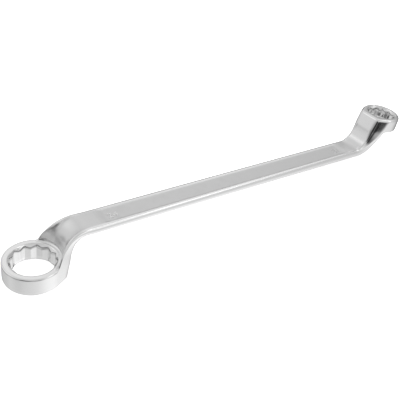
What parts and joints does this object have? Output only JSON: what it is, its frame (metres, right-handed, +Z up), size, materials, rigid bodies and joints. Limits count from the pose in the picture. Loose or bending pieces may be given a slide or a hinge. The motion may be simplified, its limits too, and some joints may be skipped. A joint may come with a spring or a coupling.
{
  "type": "ring spanner",
  "caption": "Deep-offset double-ended ring spanner: flat shank, one ring below it and a smaller ring above it, both with bi-hexagon sockets.",
  "frame": {"origin": "bottom centre of the bounding box, on the surface that the spanner lies on", "axes": "+X runs from the large ring to the small ring; +Z is up as the spanner lies, with both ring axes leaning about 5.3 degrees from it"},
  "size_m": [0.3466, 0.0356, 0.0332],
  "materials": {
    "satin_chrome": "satin chrome plate on forged steel"
  },
  "bodies": {
    "root": {"spanner": "satin_chrome"}
  },
  "joints": []
}
